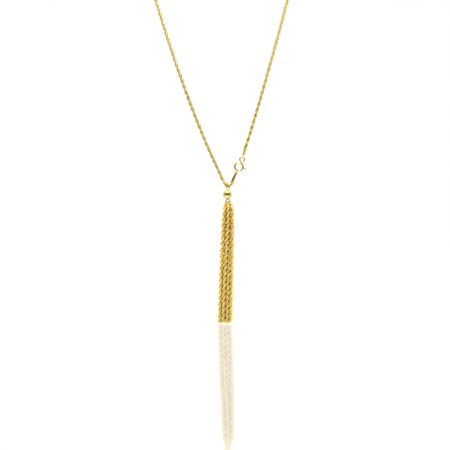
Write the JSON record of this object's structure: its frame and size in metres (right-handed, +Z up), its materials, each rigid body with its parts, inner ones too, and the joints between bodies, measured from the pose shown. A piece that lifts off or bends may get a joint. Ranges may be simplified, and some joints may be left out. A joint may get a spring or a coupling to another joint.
{
  "type": "necklace",
  "caption": "Gold rope chain drawn through the ring of a polished bead, closed in front by a spring ring clasp, with a tassel of rope strands hanging from the bead.",
  "frame": {"origin": "centre of the chain at the nape, at the back and top of the loop, where a neck holds it", "axes": "+Z up, +X to the wearer's left, +Y to the back; the front of the loop and the pendant are at -Y and hang down -Z"},
  "size_m": [0.1162, 0.1536, 0.2805],
  "materials": {
    "rope_gold": "polished rope chain",
    "polished_gold": "polished",
    "bead_gold": "mirror polished"
  },
  "bodies": {
    "necklace": {"chain_left": "rope_gold", "chain_right": "rope_gold", "end_cap_upper": "polished_gold", "end_cap_lower": "polished_gold", "spring_ring": "polished_gold"},
    "bolt": {"clasp_bolt": "polished_gold"},
    "pendant": {"bead": "bead_gold", "tassel_strand_1": "rope_gold", "tassel_strand_2": "rope_gold", "tassel_strand_3": "rope_gold", "tassel_strand_4": "rope_gold", "tassel_strand_5": "rope_gold", "tassel_strand_6": "rope_gold", "tassel_strand_7": "rope_gold", "tassel_strand_8": "rope_gold"}
  },
  "joints": [
    {"name": "clasp_opening", "type": "hinge", "parent": "necklace", "child": "bolt", "pos_m": [0.0104, -0.1492, -0.189], "axis": [0, -1, 0], "range_deg": [0, 55], "stiffness_Nm_per_rad": 0.002},
    {"name": "pendant_swing", "type": "hinge", "parent": "necklace", "child": "pendant", "pos_m": [0.004, -0.15, -0.20025], "axis": [0.866, 0.5, 0], "range_deg": [-80, 80]}
  ]
}
